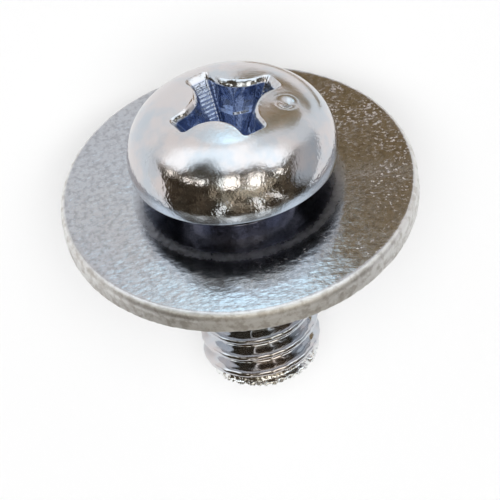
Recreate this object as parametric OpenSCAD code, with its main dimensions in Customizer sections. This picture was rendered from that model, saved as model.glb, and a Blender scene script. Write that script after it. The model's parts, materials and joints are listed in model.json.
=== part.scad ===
// Cross-recessed pan head machine screw with a loose flat washer that its rolled thread keeps on.
// Both pieces are drawn upright first: the underside of the head is at z = 0, the head points up,
// and the side that ends up on the table faces +X. They are then laid down as they come to rest,
// on the washer's rim and on the edge of the screw's tip, with the table at z = 0.

/* [Thread] */
// Outer diameter of the thread
thread_d = 3.95; // [3.8:0.05:5]
// Distance between neighbouring crests
pitch = 0.7; // [0.5:0.05:1]
// Depth of the groove
thread_depth = 0.38; // [0.25:0.01:0.5]
// Width of the flat on a crest
crest_w = 0.1; // [0.05:0.01:0.15]
// Width of the flat at the bottom of the groove
root_w = 0.14; // [0.05:0.01:0.2]
// Height above the tip of the last crest on the upper side
last_crest = 0.7; // [0.3:0.05:0.9]

/* [Shank] */
// Length from the underside of the head to the tip
length = 8.2; // [7:0.1:16]
// Diameter of the plain neck
neck_d = 3.45; // [3.3:0.05:3.6]
// Length of the plain neck
neck_len = 2.1; // [1.8:0.05:3]
// Rounding between the neck and the head
neck_fillet = 0.15; // [0.05:0.01:0.25]
// Diameter of the flat at the tip
tip_d = 3.55; // [3.2:0.05:3.7]
// Slope of the tip's chamfer from the axis, in degrees
tip_slope = 22; // [10:1:28]
// Length over which the groove fades out at the tip
tip_fade = 0.45; // [0.2:0.05:0.8]

/* [Head] */
// Diameter of the head
head_d = 6.95; // [6.4:0.05:8]
// Height of the head
head_h = 2.55; // [2.2:0.05:3.2]
// Radius of the crown
crown_r = 10; // [6:0.5:20]
// Radius of the shoulder
shoulder_r = 1.85; // [1:0.05:2]
// Lean of the head's side, in degrees
side_lean = 2; // [0:0.5:6]
// Rounding of the lower rim
rim_r = 0.2; // [0.1:0.01:0.3]

/* [Recess] */
// Span of the cross from wing end to wing end
recess_span = 3.9; // [3.6:0.05:4.6]
// Width of a wing
wing_w = 0.76; // [0.6:0.01:1]
// Radius of the metal between two wings
web_r = 1.2; // [0.8:0.05:1.4]
// Depth of the recess below the crown
recess_depth = 1.95; // [1.4:0.05:2.1]
// Share of its width that the recess keeps at its floor
recess_taper = 0.4; // [0.3:0.01:0.6]
// Depth of the point below the recess floor
recess_point = 0.25; // [0.1:0.05:0.35]
// Turn of the recess about the screw, in degrees
recess_turn = 26; // [0:1:90]

/* [Dot on the head] */
// Width of the punched dot
dot_w = 0.7; // [0.4:0.05:0.9]
// Depth of the punched dot
dot_depth = 0.12; // [0.05:0.01:0.2]
// Distance of the dot from the axis
dot_out = 2; // [1.6:0.05:2.3]
// Direction of the dot from the axis, in degrees
dot_turn = -102; // [-130:1:-85]

/* [Washer] */
// Outer diameter of the washer
washer_d = 11.8; // [9:0.1:16]
// Thickness of the washer
washer_t = 0.78; // [0.6:0.01:1.2]
// Play of the hole over the neck
hole_play = 0.165; // [0.12:0.005:0.25]
// Rounding of the upper outer edge, where the blank was drawn into the die
roll_r = 0.22; // [0.1:0.01:0.3]
// Rounding of the upper edge of the hole
hole_edge = 0.1; // [0.05:0.01:0.2]
// Height of the eased lower edge of the hole
mouth_h = 0.3; // [0.2:0.01:0.4]
// Room between the eased lower edge and the thread
mouth_room = 0.4; // [0.35:0.01:0.6]

/* [Rest] */
// Room left where the leaning washer meets the neck
catch_gap = 0.03; // [0.01:0.005:0.05]
// Room left between the washer and the start of the thread
thread_gap = 0.05; // [0.02:0.01:0.1]

/* [Hidden] */
$fn = 64;

thread_r = thread_d / 2;
root_r = thread_r - thread_depth;
core_r = root_r * 0.9;
neck_r = neck_d / 2;
tip_r = tip_d / 2;
head_r = head_d / 2;
washer_r = washer_d / 2;
hole_r = neck_r + hole_play / 2;
mouth_r = thread_r + mouth_room;
fuse = 0.03;
arc_step = 6;
zinc = "#c8cad0";

// Points along an arc from one angle to another
function arc(centre, r, from, to) =
    let (count = ceil(abs(to - from) / arc_step))
    [for (i = [0:count])
        let (a = from + (to - from) * i / count)
        [centre[0] + r * cos(a), centre[1] + r * sin(a)]];

// The head's side starts at the rim's rounding and runs up into the shoulder, which meets the crown
rim_centre = [head_r - rim_r, rim_r];
side_foot = rim_centre + rim_r * [cos(side_lean), sin(side_lean)];
shoulder_foot = side_foot - shoulder_r * [cos(side_lean), sin(side_lean)];
side_dir = [-sin(side_lean), cos(side_lean)];
crown_centre = [0, head_h - crown_r];
foot_offset = shoulder_foot - crown_centre;
along = foot_offset * side_dir;
side_len = sqrt(along^2 - foot_offset * foot_offset + (crown_r - shoulder_r)^2) - along;
shoulder_centre = shoulder_foot + side_len * side_dir;
shoulder_end = atan2(shoulder_centre[1] - crown_centre[1], shoulder_centre[0]);
head_outline = concat(
    arc(rim_centre, rim_r, -90, side_lean),
    arc(shoulder_centre, shoulder_r, side_lean, shoulder_end),
    arc(crown_centre, crown_r, shoulder_end, 90)
);
dot_z = crown_centre[1] + sqrt(crown_r^2 - dot_out^2);
dot_r = ((dot_w / 2)^2 + dot_depth^2) / (2 * dot_depth);

// The loose washer leans until opposite edges of its hole catch the neck
catch_reach = norm([hole_r, washer_t / 2]);
lean = acos((neck_r + catch_gap) / catch_reach) - atan2(washer_t / 2, hole_r);
washer_z = thread_gap - neck_len + washer_t / 2 * cos(lean) + hole_r * sin(lean);

// The table touches the washer's lower rim and the tip's edge
rim_x = washer_r * cos(lean) + washer_t / 2 * sin(lean);
rim_z = washer_z + washer_r * sin(lean) - washer_t / 2 * cos(lean);
lie = atan2(rim_x - tip_r, rim_z + length);
rise = tip_r * cos(lie) + length * sin(lie);
head_end = max([for (p = head_outline) p[0] * sin(lie) + p[1] * cos(lie)]);
tip_end = -tip_r * sin(lie) - length * cos(lie);
shift = -(head_end + tip_end) / 2;

// The thread is a skin of rows that climb one pitch a turn, so each row joins the row one pitch up
steps = 36;
row_z = [-crest_w / 2, crest_w / 2, (pitch - root_w) / 2, (pitch + root_w) / 2];
row_r = [thread_r, thread_r, root_r, root_r];
per_pitch = len(row_z);
thread_foot = last_crest - length - 2 * pitch;
rows = per_pitch * (ceil((length - neck_len - last_crest) / pitch) + 3);
column = rows + per_pitch + 1;

// Smallest radius near the tip, where the groove fades out
function fade_r(z) = root_r + (tip_r - root_r) * min(1, 1 - (z + length) / tip_fade);

function skin_point(i, j) =
    let (a = 180 + 360 * i / steps)
    let (z = thread_foot + pitch * (i / steps + floor(j / per_pitch)) + row_z[j % per_pitch])
    let (r = max(row_r[j % per_pitch], fade_r(z)))
    [r * cos(a), r * sin(a), z];

// Places in the point list: past the last step, a row goes on one pitch higher in the first column
function at(i, j) = i < steps ? i * column + j : j + per_pitch;

module thread_skin() {
    points = [for (i = [0:steps - 1]) for (j = [0:column - 1]) skin_point(i, j)];
    low_end = len(points);
    high_end = low_end + 1;
    ends = [[0, 0, thread_foot - pitch], [0, 0, thread_foot + pitch * (column / per_pitch + 1)]];
    sides = [for (i = [0:steps - 1]) for (j = [0:rows - 1]) each [
        [at(i, j), at(i, j + 1), at(i + 1, j + 1)],
        [at(i, j), at(i + 1, j + 1), at(i + 1, j)]
    ]];
    caps = [for (i = [0:steps - 1]) each [
        [low_end, at(i, 0), at(i + 1, 0)],
        [high_end, at(i + 1, rows), at(i, rows)]
    ]];
    step_faces = [for (j = [0:per_pitch - 1]) each [
        [low_end, at(0, j + 1), at(0, j)],
        [high_end, at(0, rows + j), at(0, rows + j + 1)]
    ]];
    polyhedron(concat(points, ends), concat(sides, caps, step_faces), convexity = 10);
}

// Turned envelope that ends the thread: chamfered at the tip, run out into the neck at the top
module thread_envelope() {
    reach = thread_r + thread_depth;
    top_r = neck_r - fuse;
    rotate_extrude()
        polygon([
            [0, -length],
            [tip_r, -length],
            [reach, -length + (reach - tip_r) / tan(tip_slope)],
            [reach, -neck_len - (reach - top_r)],
            [top_r, -neck_len],
            [core_r, -neck_len + fuse],
            [0, -neck_len + fuse]
        ]);
}

// Head and plain neck, turned as one
module head_and_neck() {
    neck_run = neck_r - core_r;
    rotate_extrude()
        polygon(concat(
            [[0, -neck_len - neck_run], [core_r, -neck_len - neck_run], [neck_r, -neck_len]],
            arc([neck_r + neck_fillet, -neck_fillet], neck_fillet, 180, 90),
            head_outline,
            [[0, 0]]
        ));
}

// Outline of the cross: two bars, and the round corners between them
module cross_outline() {
    corner = wing_w / 2 + web_r;
    for (a = [0, 90])
        rotate(a)
            square([recess_span, wing_w], center = true);
    for (a = [0:90:270])
        rotate(a)
            difference() {
                square(corner);
                translate([corner, corner])
                    circle(web_r);
            }
}

module recess() {
    floor_r = recess_taper * ((wing_w / 2 + web_r) * sqrt(2) - web_r);
    translate([0, 0, head_h])
        rotate([180, 0, recess_turn])
            linear_extrude(recess_depth, scale = recess_taper)
                cross_outline();
    translate([0, 0, head_h - recess_depth - recess_point])
        cylinder(h = recess_point + fuse, r1 = 0, r2 = floor_r);
}

module dot() {
    rotate(dot_turn)
        translate([dot_out, 0, dot_z + dot_r - dot_depth])
            sphere(dot_r);
}

// Turns an upright piece to the way it lies on the table
module lay() {
    translate([shift, 0, rise])
        rotate([0, 90 - lie, 0])
            children();
}

module screw() {
    color(zinc)
        lay()
            difference() {
                union() {
                    head_and_neck();
                    intersection() {
                        thread_skin();
                        thread_envelope();
                    }
                }
                recess();
                dot();
            }
}

module washer() {
    half = washer_t / 2;
    color(zinc)
        lay()
            translate([0, 0, washer_z])
                rotate([0, -lean, 0])
                    rotate_extrude()
                        polygon(concat(
                            [[hole_r, mouth_h - half], [mouth_r, -half], [washer_r, -half]],
                            arc([washer_r - roll_r, half - roll_r], roll_r, 0, 90),
                            arc([hole_r + hole_edge, half - hole_edge], hole_edge, 90, 180)
                        ));
}

screw();
washer();
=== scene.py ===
import json
import math

import bpy
import numpy as np
from mathutils import Matrix, Vector


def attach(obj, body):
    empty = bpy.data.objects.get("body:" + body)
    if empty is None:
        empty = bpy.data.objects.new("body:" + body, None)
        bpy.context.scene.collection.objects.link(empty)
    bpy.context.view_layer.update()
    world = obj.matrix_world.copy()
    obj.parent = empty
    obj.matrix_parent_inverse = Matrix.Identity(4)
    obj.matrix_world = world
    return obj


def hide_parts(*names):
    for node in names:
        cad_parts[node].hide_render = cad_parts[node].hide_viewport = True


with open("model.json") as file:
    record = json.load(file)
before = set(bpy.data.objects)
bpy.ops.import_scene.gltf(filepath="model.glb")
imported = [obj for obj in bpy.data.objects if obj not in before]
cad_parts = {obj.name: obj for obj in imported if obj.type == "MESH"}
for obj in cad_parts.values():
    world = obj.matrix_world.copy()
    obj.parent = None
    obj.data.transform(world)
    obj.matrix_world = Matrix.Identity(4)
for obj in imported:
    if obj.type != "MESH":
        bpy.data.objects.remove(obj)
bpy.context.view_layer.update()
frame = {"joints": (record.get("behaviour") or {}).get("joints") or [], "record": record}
record = frame["record"]

# One millimetre in metres. The pieces' sizes are in millimetres
MM = 0.001

# Sizes of the screw
THREAD_R = 1.975
THREAD_DEPTH = 0.38
PITCH = 0.7
CREST_W = 0.1
ROOT_W = 0.14
LAST_CREST = 0.7
LENGTH = 8.2
NECK_R = 1.725
NECK_LEN = 2.1
NECK_FILLET = 0.15
RUN_OUT_STEP = 0.03
TIP_R = 1.775
TIP_SLOPE = math.radians(22)
TIP_FADE = 0.45
TIP_DISH = 0.06
HEAD_R = 3.475
HEAD_H = 2.55
CROWN_R = 10.0
SHOULDER_R = 1.85
SIDE_LEAN = math.radians(2)
RIM_R = 0.09
RIM_BOW = 1.6
RIM_TURN = math.radians(14)

# Sizes of the recess and the punched dot
RECESS_SPAN = 3.9
WING_W = 0.76
WEB_R = 1.2
RECESS_DEPTH = 1.95
RECESS_POINT = 0.25
RECESS_TURN = math.radians(26)
WING_CORNER = 0.1
FLOOR_EASE = 0.015
BEVEL_OUT = 0.1
BEVEL_DOWN = 0.2
LEDGE_DEPTH = 1.12
LEDGE_W = 0.04
LEDGE_SOFT = 0.03
RIDGE_PITCH = 0.115
RIDGE_HEIGHT = 0.007
RIDGE_EDGE = 0.02
DOT_W = 0.7
DOT_DEPTH = 0.12
DOT_OUT = 2.0
DOT_TURN = math.radians(-102)
DOT_COLLAR = 0.008

# Shares: the recess's width at its floor, how flat its webs are, how round its lip and the flanks are
RECESS_TAPER = 0.4
FACET = 0.85
LIP_BULGE = 0.8
FLANK_ROUND = 0.22

# Shares of the wall's height over which its ridges and its facets fade out below the lip
RIDGE_FADE = 0.2
FACET_FADE = 0.3

# Shares of the recess's reach between which its webs end and its wings begin
WEB_REACH = (0.75, 0.95)

# Shares of the dot's radius: the edge of its pit, and the place and the width of the collar around it
PIT_EDGE = 1.05
COLLAR_AT = 1.2
COLLAR_W = 0.2

# Sizes of the washer, whose upper face starts to fall at one radius and has its full slope from another
WASHER_R = 5.9
WASHER_T = 0.78
HOLE_R = 1.8075
ROLL_R = 0.22
HOLE_EDGE = 0.1
MOUTH_H = 0.3
MOUTH_R = 2.375
LOWER_EASE = 0.03
DISH_FROM = 3.0
DISH_FULL = 4.4
DISH_SLOPE = math.radians(3)
DISH_RISE = 0.1
EDGE_LOSS = 0.002

# Where wear, marks and painted glints fade in or out on the washer: radii, heights, and places along and
# across it
PRESSED_IN = (3.02, 3.32)
PRESSED_OUT = (3.36, 3.66)
# Painted glints: pale flecks on one side of the washer's upper face
GLINTS_FROM = (3.5, 4.0)
GLINTS_ACROSS = (1.5, -1.5)
COARSE_AND_GLINTS_ALONG = (-3.0, 3.5)
CALM_HOLE = (HOLE_R, HOLE_R + 0.4)
EDGE_BAND = (WASHER_R - 0.19, WASHER_R - 0.06)
BROKEN_TOP = (-0.02, 0.14)
UPPER_HALF = (-0.1, 0.1)

# Heights above the tip over which it is worn at its side, and over which it is worn back
TIP_WORN = (0.10, 0.54)
TIP_WORN_BACK = (0.3, 0.0)

# Ripples in the metal: height, wavelength and seed
THREAD_RIPPLE = (0.002, 0.5, 3)
THREAD_FLUTES = (0.005, 0.36, 4)
TIP_CRUMBLE = (0.042, 0.28, 5)
TIP_GRIT = (0.014, 0.16, 6)
SHEET_WAVE = (0.0035, 3.5, 11)
SHEET_DIMPLES = (0.0012, 0.9, 12)
EDGE_CHIPS = (0.010, 0.22, 13)
EDGE_GRIT = (0.006, 0.1, 14)
RIPPLE_WAVES = 28

# Scales that flatten places onto a plane, or draw ripples out along the axis
FLAT = (1, 1, 0)
FLUTED = (1, 1, 0.15)
TORN = (1, 1, 0.25)

# How fine the meshes are: points around, rows of each stretch, and steps as shares of their stretch
SCREW_COLUMNS = 256
WASHER_COLUMNS = 320
POINT_STEPS = (0.25, 0.5, 0.75, 0.98)
FLOOR_STEPS = (0.3, 0.6, 0.85)
WALL_START = 0.015
WALL_ROWS = 54
LIP_STEPS = (0.06, 0.16, 0.3, 0.5, 0.7, 0.84, 0.94, 1)
CROWN_ROWS = 36
SHOULDER_ROWS = 23
SIDE_ROWS = 4
BOW_ROWS = 8
RIM_ROWS = 7
UNDER_ROWS = 7
FILLET_ROWS = 6
NECK_ROWS = 8
THREAD_STEP = 0.032
TIP_ROWS = 14
HOLE_ROWS = 6
FACE_ROWS = 45
ROLL_ROWS = 10
EDGE_ROWS = 15
EASE_ROWS = 3
BACK_ROWS = 21

# Radius where the crown's rows have become round, and the room between the last neck row and the thread
RING_R = 2.75
NECK_END_GAP = 0.02

# The photograph's view: angle above the plane of the head's rim, roll, distance and framing
VIEW_RISE = math.radians(37.3)
VIEW_ROLL = math.radians(-8.84)
VIEW_DISTANCE = 196.7
FOCAL_PX = 6022.0
IMAGE_PX = 500
RIM_CENTRE_PX = (234.4, 160.6)
SENSOR_MM = 36.0


def upright_frame(origin, axis):
    """Matrix from upright millimetres, with +X on the table's side, to the row frame."""
    across = Vector((0, 1, 0))
    table_side = across.cross(axis)
    rotation = Matrix((table_side, across, axis)).transposed().to_4x4()
    return Matrix.Translation(origin) @ rotation @ Matrix.Scale(MM, 4)


driver_recess = next(m for m in record["mounts"] if m["name"] == "driver_recess")
screw_axis = Vector(driver_recess["axis"]).normalized()
screw_frame = upright_frame(Vector(driver_recess["pos_m"]) - screw_axis * HEAD_H * MM, screw_axis)
washer_spin = frame["joints"][0]
washer_frame = upright_frame(Vector(washer_spin["pos_m"]), Vector(washer_spin["axis"]).normalized())


# Points, rows and meshes


def smooth_step(low, high, value):
    """Zero at one value and one at the other, with a smooth rise between them."""
    t = np.clip((value - low) / (high - low), 0, 1)
    return t * t * (3 - 2 * t)


def ripple(points, height, wavelength, seed):
    """Smooth noise of the given height and wavelength."""
    rng = np.random.default_rng(seed)
    direction = rng.normal(size=(RIPPLE_WAVES, 3))
    direction /= np.linalg.norm(direction, axis=1)[:, None]
    speed = 2 * math.pi / wavelength * rng.uniform(0.7, 1.3, size=(RIPPLE_WAVES, 1))
    phase = rng.uniform(0, 2 * math.pi, size=RIPPLE_WAVES)
    total = np.cos(points @ (direction * speed).T + phase).sum(axis=1)
    return height * (math.sqrt(2 / RIPPLE_WAVES) * total)


def around(radius, angle):
    """Flat points around the axis, with one radius or a radius for each angle."""
    return np.column_stack([radius * np.cos(angle), radius * np.sin(angle)])


def even_angles(count):
    """Angles spread evenly over a full turn."""
    return np.arange(count) * 2 * math.pi / count


def lift(loop, z):
    """A flat loop raised to one height, or to a height for each point."""
    return np.column_stack([loop, np.broadcast_to(z, len(loop))])


def line_on(start, end, rows):
    """Rows along a line that goes on from a point that is already there."""
    return np.linspace(start, end, rows + 1)[1:]


def arc_on(centre, radius, start, end, rows):
    """Rows along an arc that goes on from a point that is already there."""
    return np.array(centre) + around(radius, line_on(start, end, rows))


def turned(profile, angles):
    """Rows of points from a turned profile of radius and height, at each row's own angles."""
    return [lift(around(r, a), z) for (r, z), a in zip(profile, angles)]


def away_from_axis(points):
    """Unit directions away from the axis."""
    flat = points * FLAT
    return flat / np.maximum(np.linalg.norm(flat, axis=1), 1e-6)[:, None]


def skin(name, rows, to_world, masks, first=None, last=None):
    """A closed mesh over rows of points, ended by two points, or with its last row joined to its first."""
    count = rows.shape[1]
    points = rows.reshape(-1, 3)
    faces = []
    row_pairs = [(i, i + 1) for i in range(len(rows) - 1)]
    if first is None:
        row_pairs.append((len(rows) - 1, 0))
    for i, j in row_pairs:
        for k in range(count):
            n = (k + 1) % count
            faces.append((i * count + k, j * count + k, j * count + n, i * count + n))
    if first is not None:
        points = np.vstack([points, first, last])
        foot = (len(rows) - 1) * count
        for k in range(count):
            n = (k + 1) % count
            faces.append((len(points) - 2, k, n))
            faces.append((foot + k, len(points) - 1, foot + n))
    matrix = np.array(to_world)
    world = points @ matrix[:3, :3].T + matrix[:3, 3]
    mesh = bpy.data.meshes.new(name)
    mesh.from_pydata(world.tolist(), [], faces)
    mesh.polygons.foreach_set("use_smooth", [True] * len(mesh.polygons))
    for mask, values in masks.items():
        attribute = mesh.attributes.new(mask, "FLOAT", "POINT")
        full = np.append(values, [values[0], values[-1]])
        attribute.data.foreach_set("value", full[: len(points)].astype(np.float32))
    mesh.update()
    piece = bpy.data.objects.new(name, mesh)
    bpy.context.scene.collection.objects.link(piece)
    return piece


# Head outline

turn_in = np.array([math.cos(RIM_TURN), -math.sin(RIM_TURN)])
bow_centre = np.array([HEAD_R - RIM_BOW, RIM_R + (RIM_BOW - RIM_R) * math.sin(RIM_TURN)])
rim_centre = bow_centre + (RIM_BOW - RIM_R) * turn_in
side_normal = np.array([math.cos(SIDE_LEAN), math.sin(SIDE_LEAN)])
side_along = np.array([-math.sin(SIDE_LEAN), math.cos(SIDE_LEAN)])
side_foot = bow_centre + RIM_BOW * side_normal
crown_centre = np.array([0, HEAD_H - CROWN_R])
foot_offset = side_foot - SHOULDER_R * side_normal - crown_centre
along = foot_offset @ side_along
side_len = math.sqrt(along**2 - foot_offset @ foot_offset + (CROWN_R - SHOULDER_R) ** 2) - along
shoulder_centre = crown_centre + foot_offset + side_len * side_along
shoulder_end = math.atan2(shoulder_centre[1] - crown_centre[1], shoulder_centre[0])
crown_edge = CROWN_R * math.cos(shoulder_end)


def top_height(r):
    """Height of the head's top at a distance from the axis."""
    crown = np.sqrt(np.maximum(CROWN_R**2 - r**2, 0))
    shoulder = np.sqrt(np.maximum(SHOULDER_R**2 - (r - shoulder_centre[0]) ** 2, 0))
    return np.where(r < crown_edge, crown_centre[1] + crown, shoulder_centre[1] + shoulder)


# Cross recess


def cross_outline(count):
    """The recess outline at the crown, the same with flat webs, and how much each point is a wing's end."""
    half = WING_W / 2
    corner = half + WEB_R
    end = RECESS_SPAN / 2
    web_turn = np.linspace(math.radians(135), math.radians(90), 60)
    web = np.array([corner, -corner]) + around(WEB_R, web_turn)
    flat_web = np.linspace(web[0], web[-1], len(web))
    wing_side = np.vstack([
        line_on((corner, -half), (end - WING_CORNER, -half), 19),
        arc_on((end - WING_CORNER, WING_CORNER - half), WING_CORNER, -math.pi / 2, 0, 15),
        line_on((end, WING_CORNER - half), (end, 0), 11),
    ])
    wings = []
    for start in (web, flat_web):
        low_side = np.vstack([start, wing_side])
        wings.append(np.vstack([low_side, low_side[-2::-1] * [1, -1]]))
    run = np.append(0, np.cumsum(np.linalg.norm(np.diff(wings[0], axis=0), axis=1)))
    spots = np.arange(count // 4) * run[-1] / (count // 4)
    spaced = [np.column_stack([np.interp(spots, run, side) for side in wing.T]) for wing in wings]
    turns = [RECESS_TURN + quarter * math.pi / 2 for quarter in range(4)]
    spins = [np.array([[math.cos(t), math.sin(t)], [-math.sin(t), math.cos(t)]]) for t in turns]
    outline, flat_outline = (np.vstack([wing @ spin for spin in spins]) for wing in spaced)
    wing_end = smooth_step(end - WING_CORNER, end - RIDGE_EDGE, spaced[0][:, 0])
    return outline, flat_outline, np.tile(wing_end, 4)


def outward(loop):
    """Unit normals of a loop, away from its inside."""
    tangent = np.roll(loop, -1, axis=0) - np.roll(loop, 1, axis=0)
    normal = np.column_stack([tangent[:, 1], -tangent[:, 0]])
    return normal / np.linalg.norm(normal, axis=1)[:, None]


def width_share(depth):
    """Share of its width that the recess has at a depth below the crown's top."""
    return 1 - (1 - RECESS_TAPER) * depth / RECESS_DEPTH


def recess_rows(outline, flat_outline, wing_end):
    """Rows from the recess point up the walls and over the lip, and the loop where the crown begins."""
    reach = np.linalg.norm(outline, axis=1)
    normal = outward(outline)
    mouth = np.zeros(len(outline))
    for _ in range(8):
        mouth = HEAD_H - top_height(reach * width_share(mouth))
    rows = []
    faceted = outline * (1 - FACET) + flat_outline * FACET
    floor_loop = faceted * RECESS_TAPER
    point_r = RECESS_TAPER * (math.sqrt(2) * (WING_W / 2 + WEB_R) - WEB_R)
    round_loop = point_r * floor_loop / np.linalg.norm(floor_loop, axis=1)[:, None]
    floor_z = HEAD_H - RECESS_DEPTH
    for t in POINT_STEPS:
        rows.append(lift(round_loop * t, floor_z - RECESS_POINT * (1 - t)))
    for t in FLOOR_STEPS:
        loop = round_loop * (1 - t) + floor_loop * t
        rows.append(lift(loop, floor_z + FLOOR_EASE * t * t))
    wall_top = mouth + BEVEL_DOWN
    web = 1 - smooth_step(*WEB_REACH, reach / reach.max())
    for t in np.linspace(WALL_START, 1, WALL_ROWS):
        depth = RECESS_DEPTH + (wall_top - RECESS_DEPTH) * t
        ridge = RIDGE_HEIGHT * wing_end * np.sin(2 * math.pi * depth / RIDGE_PITCH)
        ridge = ridge * smooth_step(0, RIDGE_FADE, 1 - t)
        ledge = LEDGE_W * web * smooth_step(LEDGE_DEPTH - LEDGE_SOFT, LEDGE_DEPTH + LEDGE_SOFT, depth)
        facet = smooth_step(0, FACET_FADE, 1 - t)
        wall_loop = outline * (1 - facet) + faceted * facet
        loop = wall_loop * width_share(depth)[:, None] + normal * (ridge - ledge)[:, None]
        rows.append(lift(loop, HEAD_H - depth))
    wall = rows[-1]
    edge = lift(outline * width_share(mouth)[:, None], HEAD_H - mouth)
    crown_loop = edge[:, :2] + normal * BEVEL_OUT
    over = lift(crown_loop, top_height(np.linalg.norm(crown_loop, axis=1)))
    for t in LIP_STEPS:
        bulge = LIP_BULGE * t * (1 - t)
        rows.append(wall * (1 - t) + over * t + bulge * (edge - (wall + over) / 2))
    return rows, crown_loop


def dent(loop):
    """Depth of the punched dot under points of the crown, with the metal that it pushed up around it."""
    centre = DOT_OUT * np.array([math.cos(DOT_TURN), math.sin(DOT_TURN)])
    away = np.linalg.norm(loop - centre, axis=1) / (DOT_W / 2)
    pit = DOT_DEPTH * (1 - smooth_step(0.0, PIT_EDGE, away))
    collar = DOT_COLLAR * np.exp(-(((away - COLLAR_AT) / COLLAR_W) ** 2))
    return pit - collar


# Screw


def thread_radius(angle, z):
    """Radius of the right-hand thread, with its run-out at the neck and its faded end at the tip."""
    turn = (z + LENGTH - LAST_CREST) / PITCH - (angle - math.pi) / (2 * math.pi)
    from_crest = np.abs(turn - np.round(turn)) * PITCH
    flank = (PITCH - CREST_W - ROOT_W) / 2
    t = np.clip((from_crest - CREST_W / 2) / flank, 0, 1)
    t = t - FLANK_ROUND * np.sin(2 * math.pi * t) / math.pi
    radius = THREAD_R - THREAD_DEPTH * t
    below_neck = np.maximum(-NECK_LEN - z, 0)
    run_out = NECK_R - RUN_OUT_STEP + below_neck
    neck_end = NECK_R - below_neck
    tip_chamfer = TIP_R + (z + LENGTH) * math.tan(TIP_SLOPE)
    root = THREAD_R - THREAD_DEPTH
    fade = root + (TIP_R - root) * (1 - (z + LENGTH) / TIP_FADE)
    radius = np.minimum(radius, np.minimum(run_out, tip_chamfer))
    return np.maximum(radius, np.maximum(neck_end, np.where(z + LENGTH < TIP_FADE, fade, 0)))


def make_screw():
    """The screw as one skin, from the recess point over the head and down the thread to the tip."""
    rows, loop = recess_rows(*cross_outline(SCREW_COLUMNS))
    crown_row = len(rows)
    bend = np.unwrap(np.arctan2(loop[:, 1], loop[:, 0]))
    even = bend.mean() - math.pi + math.pi / SCREW_COLUMNS + even_angles(SCREW_COLUMNS)
    ring = around(RING_R, bend)
    for t in line_on(0, 1, CROWN_ROWS):
        flat = loop * (1 - t) + ring * t
        rows.append(lift(flat, top_height(np.linalg.norm(flat, axis=1)) - dent(flat)))
    shoulder_row = len(rows)
    shoulder_start = math.acos((RING_R - shoulder_centre[0]) / SHOULDER_R)
    profile = np.vstack([
        arc_on(shoulder_centre, SHOULDER_R, shoulder_start, SIDE_LEAN, SHOULDER_ROWS),
        line_on(shoulder_centre + SHOULDER_R * side_normal, side_foot, SIDE_ROWS),
        arc_on(bow_centre, RIM_BOW, SIDE_LEAN, -RIM_TURN, BOW_ROWS),
        arc_on(rim_centre, RIM_R, -RIM_TURN, -math.pi / 2, RIM_ROWS),
        line_on((rim_centre[0], 0), (NECK_R + NECK_FILLET, 0), UNDER_ROWS),
        arc_on((NECK_R + NECK_FILLET, -NECK_FILLET), NECK_FILLET, math.pi / 2, math.pi, FILLET_ROWS),
        line_on((NECK_R, -NECK_FILLET), (NECK_R, NECK_END_GAP - NECK_LEN), NECK_ROWS),
    ])
    blend = smooth_step(0, 1, np.linspace(0, 1, len(profile)))
    rows += turned(profile, [bend * (1 - b) + even * b for b in blend])
    thread_row = len(rows)
    for z in np.arange(-NECK_LEN, -LENGTH, -THREAD_STEP):
        rows.append(lift(around(thread_radius(even, z), even), z))
    for t in np.linspace(1, 0, TIP_ROWS, endpoint=False):
        rows.append(lift(around(TIP_R * t, even), TIP_DISH * (1 - t * t) - LENGTH))

    grid = np.array(rows)
    flat = grid.reshape(-1, 3)
    index = np.repeat(np.arange(len(rows)), SCREW_COLUMNS)
    in_thread = index >= thread_row
    near_tip = in_thread * (1 - smooth_step(*TIP_WORN, flat[:, 2] + LENGTH))
    rough = (ripple(flat, *THREAD_RIPPLE) + ripple(flat * FLUTED, *THREAD_FLUTES)) * in_thread
    worn = np.abs(near_tip * (ripple(flat, *TIP_CRUMBLE) + ripple(flat, *TIP_GRIT)))
    flat = flat + away_from_axis(flat) * (rough - worn)[:, None]
    flat[:, 2] += worn * smooth_step(*TIP_WORN_BACK, flat[:, 2] + LENGTH)

    def from_row(row, before, after):
        """A mask that rises around a row, from some rows before it to some after."""
        return smooth_step(row - before, row + after, index)

    lip_row = crown_row - len(LIP_STEPS)
    bow_row = shoulder_row + SHOULDER_ROWS + SIDE_ROWS
    under_row = bow_row + BOW_ROWS + RIM_ROWS
    masks = {
        "on_crown": from_row(crown_row, 1, 3) * (1 - from_row(shoulder_row, 3, 13)),
        # on_rim also places the rim's painted highlight
        "on_rim": from_row(bow_row, 2, 2) * (1 - from_row(under_row, 3, 0)),
        # under_head places the painted shade under the head
        "under_head": from_row(under_row, 1, 2) * (1 - in_thread),
        # in_recess places the recess's blue tint and painted shade
        "in_recess": 1 - from_row(lip_row, 2, 2),
        "in_thread": in_thread.astype(float),
        "near_tip": near_tip,
    }
    first = (0, 0, HEAD_H - RECESS_DEPTH - RECESS_POINT)
    last = (0, 0, TIP_DISH - LENGTH)
    return skin("screw_plated", flat.reshape(grid.shape), screw_frame, masks, first, last)


# Washer


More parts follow.
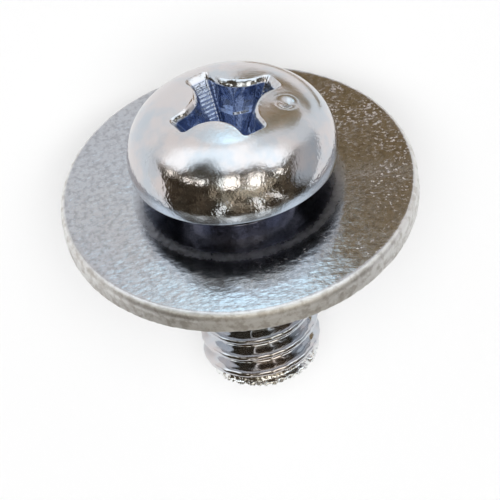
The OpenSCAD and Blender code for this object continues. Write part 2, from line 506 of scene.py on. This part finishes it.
def make_washer():
    """The washer as one turned skin, from the hole over the upper face and the edge to the underside."""
    half = WASHER_T / 2
    hole_foot = (HOLE_R, MOUTH_H - half)
    edge_foot = (WASHER_R, LOWER_EASE - half)
    back_edge = (WASHER_R - LOWER_EASE, -half)
    profile = np.vstack([
        hole_foot,
        line_on(hole_foot, (HOLE_R, half - HOLE_EDGE), HOLE_ROWS),
        arc_on((HOLE_R + HOLE_EDGE, half - HOLE_EDGE), HOLE_EDGE, math.pi, math.pi / 2, HOLE_ROWS),
        line_on((HOLE_R + HOLE_EDGE, half), (WASHER_R - ROLL_R, half), FACE_ROWS),
        arc_on((WASHER_R - ROLL_R, half - ROLL_R), ROLL_R, math.pi / 2, 0, ROLL_ROWS),
        line_on((WASHER_R, half - ROLL_R), edge_foot, EDGE_ROWS),
        line_on(edge_foot, back_edge, EASE_ROWS),
        line_on(back_edge, (MOUTH_R, -half), BACK_ROWS),
        line_on((MOUTH_R, -half), hole_foot, HOLE_ROWS)[:-1],
    ])
    angle = even_angles(WASHER_COLUMNS)
    grid = np.array(turned(profile, [angle] * len(profile)))
    flat = grid.reshape(-1, 3)
    r = np.hypot(flat[:, 0], flat[:, 1])
    on_edge = smooth_step(*EDGE_BAND, r)
    broken = on_edge * (1 - smooth_step(*BROKEN_TOP, flat[:, 2]))
    wave = ripple(flat * FLAT, *SHEET_WAVE) + ripple(flat * FLAT, *SHEET_DIMPLES)
    faces = 1 - smooth_step(WASHER_R - ROLL_R, WASHER_R, r)
    flat[:, 2] += wave * faces * np.sign(flat[:, 2]) * smooth_step(*CALM_HOLE, r)
    dish_run = DISH_FULL - DISH_FROM
    bend = np.clip(r - DISH_FROM, 0, dish_run) ** 2 / (2 * dish_run)
    drop = DISH_SLOPE * (bend + np.maximum(r - DISH_FULL, 0)) - DISH_RISE
    flat[:, 2] -= drop * smooth_step(*UPPER_HALF, flat[:, 2])
    chip = np.abs(ripple(flat * TORN, *EDGE_CHIPS) + ripple(flat * TORN, *EDGE_GRIT))
    flat = flat - away_from_axis(flat) * (broken * chip + on_edge * EDGE_LOSS)[:, None]
    masks = {
        "on_edge": on_edge,
        "broken": broken,
        "pressed": smooth_step(*PRESSED_IN, r) * (1 - smooth_step(*PRESSED_OUT, r)) * (flat[:, 2] > 0),
        "coarse_and_glinting": smooth_step(*COARSE_AND_GLINTS_ALONG, flat[:, 0]),
        # painted_glint_side places the painted glints; coarse_and_glinting also strengthens them
        "painted_glint_side": smooth_step(*GLINTS_FROM, r) * smooth_step(*GLINTS_ACROSS, flat[:, 1]),
    }
    return skin("washer_plated", flat.reshape(grid.shape), washer_frame, masks)


# Materials


class Nodes:
    """Short calls for building a node tree."""

    def __init__(self, tree):
        self.tree = tree
        tree.nodes.clear()

    def add(self, kind, **settings):
        node = self.tree.nodes.new(kind)
        for key, value in settings.items():
            setattr(node, key, value)
        return node

    def put(self, value, socket):
        """Links a socket, or sets the plain value, into another socket."""
        if isinstance(value, bpy.types.NodeSocket):
            self.tree.links.new(value, socket)
        else:
            socket.default_value = value

    def math(self, operation, a, b=0.0, clamp=False):
        node = self.add("ShaderNodeMath", operation=operation, use_clamp=clamp)
        self.put(a, node.inputs[0])
        self.put(b, node.inputs[1])
        return node.outputs[0]

    def raised(self, value, mask, amount):
        """A value with an amount added where the mask is one."""
        return self.math("ADD", value, self.math("MULTIPLY", mask, amount))

    def vector(self, operation, *values):
        node = self.add("ShaderNodeVectorMath", operation=operation)
        for value, socket in zip(values, node.inputs):
            self.put(value, socket)
        return node.outputs["Vector"]

    def dot(self, vector, constant):
        node = self.add("ShaderNodeVectorMath", operation="DOT_PRODUCT")
        self.put(vector, node.inputs[0])
        self.put(constant, node.inputs[1])
        return node.outputs["Value"]

    def mix(self, share, a, b):
        node = self.add("ShaderNodeMix", data_type="RGBA")
        self.put(share, node.inputs[0])
        self.put(a, node.inputs[6])
        self.put(b, node.inputs[7])
        return node.outputs[2]

    def noise(self, vector, scale, detail=2.0, rough=0.5, output="Fac"):
        node = self.add("ShaderNodeTexNoise")
        self.put(vector, node.inputs["Vector"])
        node.inputs["Scale"].default_value = scale
        node.inputs["Detail"].default_value = detail
        node.inputs["Roughness"].default_value = rough
        return node.outputs[output]

    def ramp(self, value, low, high, to_low=0.0, to_high=1.0):
        """A smooth change from one number to another as the value goes from low to high."""
        node = self.add("ShaderNodeMapRange", interpolation_type="SMOOTHSTEP")
        self.put(value, node.inputs["Value"])
        node.inputs["From Min"].default_value = low
        node.inputs["From Max"].default_value = high
        node.inputs["To Min"].default_value = to_low
        node.inputs["To Max"].default_value = to_high
        return node.outputs["Result"]

    def mask(self, name):
        return self.add("ShaderNodeAttribute", attribute_name=name).outputs["Fac"]

    def millimetres(self, stretch=(1, 1, 1)):
        """Place on the piece in millimetres, stretched along the frame's axes."""
        place = self.add("ShaderNodeTexCoord").outputs["Object"]
        return self.vector("MULTIPLY", place, [s / MM for s in stretch])

    def bump(self, height, distance, strength, normal=None):
        """Normals of a bumpy surface, with the bumps' height in millimetres, over other normals if given."""
        node = self.add("ShaderNodeBump")
        node.inputs["Strength"].default_value = strength
        node.inputs["Distance"].default_value = distance * MM
        self.put(height, node.inputs["Height"])
        if normal is not None:
            self.put(normal, node.inputs["Normal"])
        return node.outputs["Normal"]

    def plain(self, kind, colour):
        """A shader of one colour."""
        node = self.add(kind)
        node.inputs["Color"].default_value = colour
        return node.outputs[0]

    def surface(self, shader, output="ShaderNodeOutputMaterial"):
        self.put(shader, self.add(output).inputs["Surface"])


ZINC = (0.54, 0.58, 0.63, 1)
ZINC_WARM = (0.65, 0.62, 0.625, 1)
# Painted shade: darker, bluer plate under the head
ZINC_SHADE_UNDER_HEAD = (0.41, 0.42, 0.50, 1)
ZINC_BARE = (0.86, 0.87, 0.86, 1)
# The plate's blue tint, made darker as painted shade in the recess
ZINC_BLUE_AND_SHADE = (0.37, 0.43, 0.57, 1)
# Painted highlight: a bright bluish-white band along the head's rim
ZINC_RIM_HIGHLIGHT = (0.76, 0.83, 0.90, 1)
SHEET = (0.475, 0.49, 0.53, 1)
SHEET_WARM = (0.50, 0.49, 0.49, 1)
SHEET_GRAIN = (0.32, 0.325, 0.345, 1)
# Painted glint colour for the pale flecks
SHEET_GLINT = (0.68, 0.65, 0.66, 1)
SHEET_EDGE = (0.86, 0.86, 0.85, 1)
SHEET_STAIN = (0.58, 0.555, 0.525, 1)


def metal(name):
    """A metal material, its nodes and its shader."""
    material = bpy.data.materials.new(name)
    material.use_nodes = True
    n = Nodes(material.node_tree)
    shader = n.add("ShaderNodeBsdfPrincipled")
    shader.inputs["Metallic"].default_value = 1.0
    n.surface(shader.outputs[0])
    return material, n, shader


def screw_zinc():
    """Bright plate: satin on the crown and rim, a painted highlight on the rim, painted shade under the head,
    blue with painted shade in the recess, bare at the tip.
    """
    material, n, shader = metal("screw_zinc")
    place = n.millimetres()
    crown = n.mask("on_crown")
    rim = n.mask("on_rim")
    recess = n.mask("in_recess")
    thread = n.mask("in_thread")
    tip = n.mask("near_tip")

    patch = n.ramp(n.noise(place, scale=0.7, detail=3, rough=0.6), 0.38, 0.62)
    plate = n.mix(patch, ZINC, ZINC_WARM)
    # The rim gets a painted highlight
    plate = n.mix(rim, plate, ZINC_RIM_HIGHLIGHT)
    # Painted shade under the head
    plate = n.mix(n.mask("under_head"), plate, ZINC_SHADE_UNDER_HEAD)
    plate = n.mix(tip, plate, ZINC_BARE)
    # Blue tint and painted shade in the recess
    n.put(n.mix(recess, plate, ZINC_BLUE_AND_SHADE), shader.inputs["Base Color"])

    smear = n.noise(place, scale=2.2, detail=4, rough=0.6)
    roughness = n.ramp(smear, 0.3, 0.7, to_low=0.075, to_high=0.12)
    for mask, amount in ((crown, 0.12), (rim, 0.09), (thread, -0.01), (recess, 0.02), (tip, -0.03)):
        roughness = n.raised(roughness, mask, amount)
    n.put(roughness, shader.inputs["Roughness"])

    smooth = n.math("ADD", thread, n.math("MULTIPLY", crown, 0.65), clamp=True)
    waves = n.math("MULTIPLY", n.noise(place, scale=8.0), n.math("SUBTRACT", 1.0, smooth))
    peel = n.bump(waves, distance=0.013, strength=0.7)
    pits = n.math("MULTIPLY", n.noise(place, scale=7.0), n.math("MULTIPLY", tip, 2.0))
    n.put(n.bump(pits, distance=0.014, strength=0.4, normal=peel), shader.inputs["Normal"])
    return material


def washer_zinc():
    """Plate over rolled sheet: grained faces with a dulled ring, pale flecks on one side painted as glints,
    and a rough blanked edge.
    """
    material, n, shader = metal("washer_zinc")
    place = n.millimetres()
    edge = n.mask("on_edge")
    coarse_and_glinting = n.mask("coarse_and_glinting")

    patch = n.ramp(n.noise(place, scale=0.45, detail=3), 0.35, 0.65)
    plate = n.mix(n.math("MULTIPLY", patch, 0.4), SHEET, SHEET_WARM)
    grain = n.ramp(n.noise(place, scale=6.0, detail=3, rough=0.6), 0.40, 0.70, to_high=0.75)
    plate = n.mix(grain, plate, SHEET_GRAIN)
    # Pale, less metallic flecks on one side of the face are painted glints
    cluster = n.ramp(n.noise(place, scale=0.8), 0.38, 0.62, to_low=0.35)
    glint_noise = n.noise(n.millimetres((1.2, 0.8, 1.2)), scale=7.5, detail=3, rough=0.65)
    glint_noise = n.ramp(n.raised(glint_noise, coarse_and_glinting, 0.11), 0.56, 0.76)
    painted_glints = n.math("MULTIPLY", n.math("MULTIPLY", glint_noise, cluster), n.mask("painted_glint_side"))
    plate = n.mix(painted_glints, plate, SHEET_GLINT)
    stain = n.ramp(n.noise(place, scale=3.2, detail=3, rough=0.65), 0.42, 0.66)
    blank = n.mix(n.math("MULTIPLY", stain, 0.8), SHEET_EDGE, SHEET_STAIN)
    n.put(n.mix(edge, plate, blank), shader.inputs["Base Color"])
    n.put(n.raised(1.0, painted_glints, -0.75), shader.inputs["Metallic"])

    streaks = n.noise(n.millimetres((0.5, 1.5, 1.0)), scale=2.0, detail=4, rough=0.6)
    roughness = n.ramp(streaks, 0.3, 0.7, to_low=0.14, to_high=0.19)
    rubbed = n.ramp(n.noise(place, scale=7.0, detail=4, rough=0.7), 0.25, 0.75, to_low=0.35)
    dulled = n.math("MULTIPLY", n.mask("pressed"), rubbed)
    for mask, amount in ((dulled, 0.31), (painted_glints, 0.20), (edge, 0.34), (n.mask("broken"), 0.12)):
        roughness = n.raised(roughness, mask, amount)
    n.put(roughness, shader.inputs["Roughness"])

    wrinkles = n.noise(n.millimetres((1.4, 0.7, 1.4)), scale=4.5, detail=3)
    peel = n.bump(wrinkles, distance=0.014, strength=0.75)
    grit = n.noise(place, scale=7.5, detail=3, rough=0.6)
    grit = n.math("MULTIPLY", grit, n.ramp(coarse_and_glinting, 0.0, 1.0, to_low=0.1))
    n.put(n.bump(grit, distance=0.020, strength=0.5, normal=peel), shader.inputs["Normal"])
    return material


# Pieces

screw = make_screw()
screw.data.materials.append(screw_zinc())
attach(screw, "screw")
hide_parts("screw")

washer = make_washer()
washer.data.materials.append(washer_zinc())
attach(washer, "washer")
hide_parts("washer")

# Floor and glowing cards. The floor is in metres, and a share of it is seen as plain white
FLOOR_BACK = -0.0252
FLOOR_FRONT = 0.042
FLOOR_SIDE = 0.042
FLOOR_WHITE = (0.98, 0.98, 0.98, 1)
FLOOR_GLOW = 0.5
WHITE = (1, 1, 1, 1)
GLOW_BROWN = (0.29, 0.205, 0.105, 1)
GLOW_SAND = (0.42, 0.34, 0.235, 1)

# Glowing cards in millimetres: name, colour, distance along X, the two sides along Y, and the two heights
CARDS = (
    ("card_near", GLOW_BROWN, 6.4, -8, -1, 0, 2.1),
    ("card_middle", GLOW_BROWN, 12, -12, -1, 0, 2.9),
    ("card_far", GLOW_BROWN, 27, -22, -1, 0, 6.0),
    ("card_top", GLOW_SAND, 27, -22, -4, 6.0, 10.4),
)

# Soft overhead light that falls on the floor, and the heights between which it comes in
DOME = (0.25, 0.25, 0.25, 1)
OVERHEAD = (6.1, 6.1, 6.1, 1)
OVERHEAD_FROM = (0.88, 0.985)

# What the metal reflects: a dim warm room, lit by windows behind the head, lamps overhead and low strips
ROOM_DARK = (0.022, 0.016, 0.010, 1)
ROOM_BROWN = (0.12, 0.095, 0.065, 1)
ROOM_GOLD = (0.85, 0.73, 0.54, 1)
PALE_WALL = (0.95, 0.92, 0.90, 1)
COOL_WALL = (0.52, 0.52, 0.53, 1)
LOW_WALL = (0.66, 0.63, 0.59, 1)
BLUE_WALL = (1.7, 2.3, 2.6, 1)
WINDOW = (1.52, 1.59, 1.62, 1)
LAMP = (2.3, 2.2, 2.0, 1)
STRIP = (1.7, 1.65, 1.55, 1)

# Streaks in the room, their two edges, and how far the lights' edges are shaken
STREAK_STRETCH = (1.5, 4.5, 1.5)
BROWN_STREAKS = (0.40, 0.62)
GOLD_STREAKS = (0.45, 0.60)
SHAKE = 0.16

# Round parts of the room: the middle's direction, and the cosines between which they come in
GOLD_GLOW = ((-0.45, -0.10, 0.85), 0.72, 0.95)
SIDE_WALL = ((0.02, 0.937, -0.35), 0.85, 0.88)

# Walls: their colour, and where each comes in along the direction's parts, with off for the size of y
WALLS = (
    (COOL_WALL, (("y", -0.78, -0.93), ("z", 0.62, 0.40))),
    (PALE_WALL, (("x", 0.28, 0.52), ("z", 0.72, 0.40))),
    (BLUE_WALL, (("x", 0.70, 0.80), ("off", 0.12, 0.03), ("z", -0.10, 0.0), ("z", 0.20, 0.08))),
    (LOW_WALL, (("off", 0.50, 0.30), ("z", 0.20, 0.10), ("x", -0.66, -0.80))),
)

# Lights: the middle's direction, then half the width and half the height as seen from one unit away
WINDOWS = (
    ((0.52, -0.50, 0.695), 0.40, 0.26),
    ((0.74, 0.02, 0.67), 0.27, 0.52),
    ((0.69, 0.60, 0.41), 0.40, 0.22),
)
LAMPS = (
    ((0.10, 0.76, 0.643), 0.05, 0.07),
    ((-0.02, 0.14, 0.99), 0.15, 0.20),
    ((0.06, 0.58, 0.81), 0.09, 0.07),
    ((-0.10, -0.30, 0.948), 0.12, 0.24),
    ((-0.03, -0.69, 0.72), 0.06, 0.08),
    ((0.245, 0.911, 0.33), 0.06, 0.06),
)
STRIPS = (
    ((-0.81, 0.31, 0.50), 0.035, 0.25),
    ((-0.82, -0.28, 0.50), 0.035, 0.25),
    ((-0.67, -0.545, 0.50), 0.035, 0.25),
)

# Lights with their colour and the soft share of their size
LIGHTS = ((WINDOWS, WINDOW, 0.3), (LAMPS, LAMP, 0.6), (STRIPS, STRIP, 0.6))


def stage_sheet(name, corners):
    """A flat sheet with corners in metres, and its material's nodes."""
    mesh = bpy.data.meshes.new(name)
    mesh.from_pydata(corners, [], [(0, 1, 2, 3)])
    sheet = bpy.data.objects.new(name, mesh)
    bpy.context.scene.collection.objects.link(sheet)
    material = bpy.data.materials.new(name)
    material.use_nodes = True
    mesh.materials.append(material)
    return sheet, Nodes(material.node_tree)


def make_floor():
    """A white floor, of which the camera and the reflections see a share as plain white."""
    corners = [
        (FLOOR_BACK, -FLOOR_SIDE, 0),
        (FLOOR_FRONT, -FLOOR_SIDE, 0),
        (FLOOR_FRONT, FLOOR_SIDE, 0),
        (FLOOR_BACK, FLOOR_SIDE, 0),
    ]
    _, n = stage_sheet("floor", corners)
    path = n.add("ShaderNodeLightPath")
    seen = n.math("MAXIMUM", path.outputs["Is Camera Ray"], path.outputs["Is Glossy Ray"])
    seen = n.math("MAXIMUM", seen, path.outputs["Is Transmission Ray"])
    mixed = n.add("ShaderNodeMixShader")
    n.put(n.math("MULTIPLY", seen, FLOOR_GLOW), mixed.inputs[0])
    n.put(n.plain("ShaderNodeBsdfDiffuse", FLOOR_WHITE), mixed.inputs[1])
    n.put(n.plain("ShaderNodeEmission", WHITE), mixed.inputs[2])
    n.surface(mixed.outputs[0])


def make_cards():
    """Upright glowing cards beyond the head, seen in reflections only, each higher than the one before it."""
    for name, colour, x, right, left, low, high in CARDS:
        corners = [(x, right, low), (x, left, low), (x, left, high), (x, right, high)]
        card, n = stage_sheet(name, [Vector(c) * MM for c in corners])
        # The cards glow with their own light and paint brown reflections into the metal
        n.surface(n.plain("ShaderNodeEmission", colour))
        card.visible_camera = False
        card.visible_diffuse = False
        card.visible_shadow = False


def window(n, direction, toward, half_width, half_height, soft):
    """How much a direction looks into a soft-edged rectangular light."""
    ahead = Vector(toward).normalized()
    side = ahead.cross(Vector((1, 0, 0) if ahead.z > 0.9 else (0, 0, 1))).normalized()
    up = side.cross(ahead)
    depth = n.dot(direction, ahead)
    near = n.math("MAXIMUM", depth, 0.05)
    inside = n.ramp(depth, 0.05, 0.2)
    for axis, half in ((side, half_width), (up, half_height)):
        away = n.math("ABSOLUTE", n.math("DIVIDE", n.dot(direction, axis), near))
        inside = n.math("MULTIPLY", inside, n.ramp(away, half * (1 + soft), half * (1 - soft)))
    return inside


def round_part(n, direction, toward, low, high):
    """How much a direction points into a soft-edged round part of the room."""
    return n.ramp(n.dot(direction, Vector(toward).normalized()), low, high)


def room(n, direction):
    """Colour of the room in each direction."""
    split = n.add("ShaderNodeSeparateXYZ")
    n.put(direction, split.inputs[0])
    x, y, z = split.outputs
    parts = {"x": x, "y": y, "z": z, "off": n.math("ABSOLUTE", y)}

    streaks = n.noise(n.vector("MULTIPLY", direction, STREAK_STRETCH), scale=2.6, detail=6, rough=0.75)
    colour = n.mix(n.ramp(streaks, *BROWN_STREAKS), ROOM_DARK, ROOM_BROWN)
    gold = n.math("MULTIPLY", round_part(n, direction, *GOLD_GLOW), n.ramp(streaks, *GOLD_STREAKS))
    colour = n.mix(gold, colour, ROOM_GOLD)
    for wall_colour, edges in WALLS:
        share = 1.0
        for part, low, high in edges:
            share = n.math("MULTIPLY", share, n.ramp(parts[part], low, high))
        colour = n.mix(share, colour, wall_colour)
    colour = n.mix(round_part(n, direction, *SIDE_WALL), colour, PALE_WALL)

    noise = n.noise(direction, scale=5.0, output="Color")
    shaken = n.vector("MULTIPLY_ADD", noise, [SHAKE] * 3, direction)
    shaken = n.vector("SUBTRACT", shaken, [SHAKE / 2] * 3)
    for places, light, soft in LIGHTS:
        for place in places:
            colour = n.mix(window(n, shaken, *place, soft), colour, light)
    return colour, z


def make_world():
    """Soft overhead light for the floor, the room that the metal reflects, and white behind all."""
    world = bpy.data.worlds.new("studio")
    bpy.context.scene.world = world
    world.use_nodes = True
    world.cycles.sampling_method = "NONE"
    n = Nodes(world.node_tree)
    direction = n.add("ShaderNodeTexCoord").outputs["Generated"]
    reflected, z = room(n, direction)
    path = n.add("ShaderNodeLightPath")
    light = n.mix(n.ramp(z, *OVERHEAD_FROM), DOME, OVERHEAD)
    light = n.mix(path.outputs["Is Glossy Ray"], light, reflected)
    straight = n.math("MAXIMUM", path.outputs["Is Camera Ray"], path.outputs["Is Transmission Ray"])
    background = n.add("ShaderNodeBackground")
    n.put(n.mix(straight, light, WHITE), background.inputs["Color"])
    n.surface(background.outputs[0], "ShaderNodeOutputWorld")


def make_camera():
    """The photograph's camera, placed from the middle of the head's underside."""
    rise = Vector((-math.cos(VIEW_RISE), 0, math.sin(VIEW_RISE)))
    right = Vector((0, -1, 0))
    up = Vector((math.sin(VIEW_RISE), 0, math.cos(VIEW_RISE)))
    rolled_right = math.cos(VIEW_ROLL) * right + math.sin(VIEW_ROLL) * up
    rolled_up = -math.sin(VIEW_ROLL) * right + math.cos(VIEW_ROLL) * up
    off_x = (RIM_CENTRE_PX[0] - IMAGE_PX / 2) / FOCAL_PX
    off_y = (IMAGE_PX / 2 - RIM_CENTRE_PX[1]) / FOCAL_PX
    aim = Vector((0, 0, 1)).rotation_difference(Vector((off_x, off_y, 1))).to_matrix()
    axes = aim @ Matrix((rolled_right, rolled_up, -rise))
    turn = screw_frame.to_3x3().normalized()
    camera_right, camera_up, camera_ahead = (turn @ axes[i] for i in range(3))
    data = bpy.data.cameras.new("camera")
    data.sensor_width = SENSOR_MM
    data.lens = SENSOR_MM * FOCAL_PX / IMAGE_PX
    data.clip_start = MM
    camera = bpy.data.objects.new("camera", data)
    bpy.context.scene.collection.objects.link(camera)
    place = Matrix((camera_right, camera_up, -camera_ahead)).transposed().to_4x4()
    place.translation = screw_frame @ (rise * VIEW_DISTANCE)
    camera.matrix_world = place
    bpy.context.scene.camera = camera


make_floor()
make_cards()
make_world()
make_camera()
bpy.context.scene.view_settings.view_transform = "Standard"
